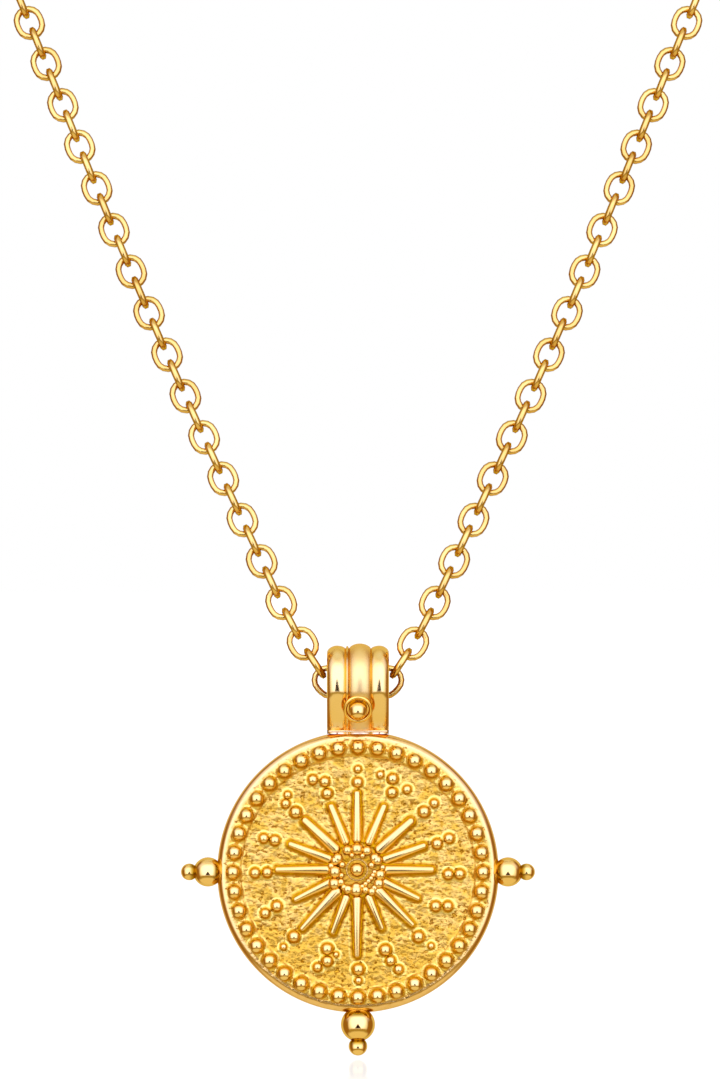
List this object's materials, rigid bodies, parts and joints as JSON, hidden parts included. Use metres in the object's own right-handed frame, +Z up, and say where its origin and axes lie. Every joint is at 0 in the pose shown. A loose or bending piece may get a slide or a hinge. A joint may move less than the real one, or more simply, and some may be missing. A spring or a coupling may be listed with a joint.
{
  "type": "medallion pendant necklace",
  "caption": "Round cast gold medallion with a rayed star, granules, beaded border and rim nubs, hung by a ribbed bail from a gold oval-link cable chain.",
  "frame": {"origin": "the middle of the clasp at the nape, where the back of a neck holds the chain up", "axes": "+Z up, -Y towards the viewer of the medallion's face, +X to that viewer's right"},
  "size_m": [0.109, 0.1087, 0.1528],
  "materials": {
    "cast_gold": "gold-plated casting, polished on the high spots, hammered and satin on the field",
    "chain_gold": "gold-plated, polished round wire",
    "clasp_gold": "gold-plated, plain polish"
  },
  "bodies": {
    "necklace": {"chain": "chain_gold", "jump_ring_left": "chain_gold", "jump_ring_right": "chain_gold", "clasp": "clasp_gold"},
    "pendant": {"medallion": "cast_gold"}
  },
  "joints": [
    {"name": "medallion_swing", "type": "hinge", "parent": "necklace", "child": "pendant", "pos_m": [0, -0.104, -0.121], "axis": [1, 0, 0], "range_deg": [-90, 90]}
  ]
}
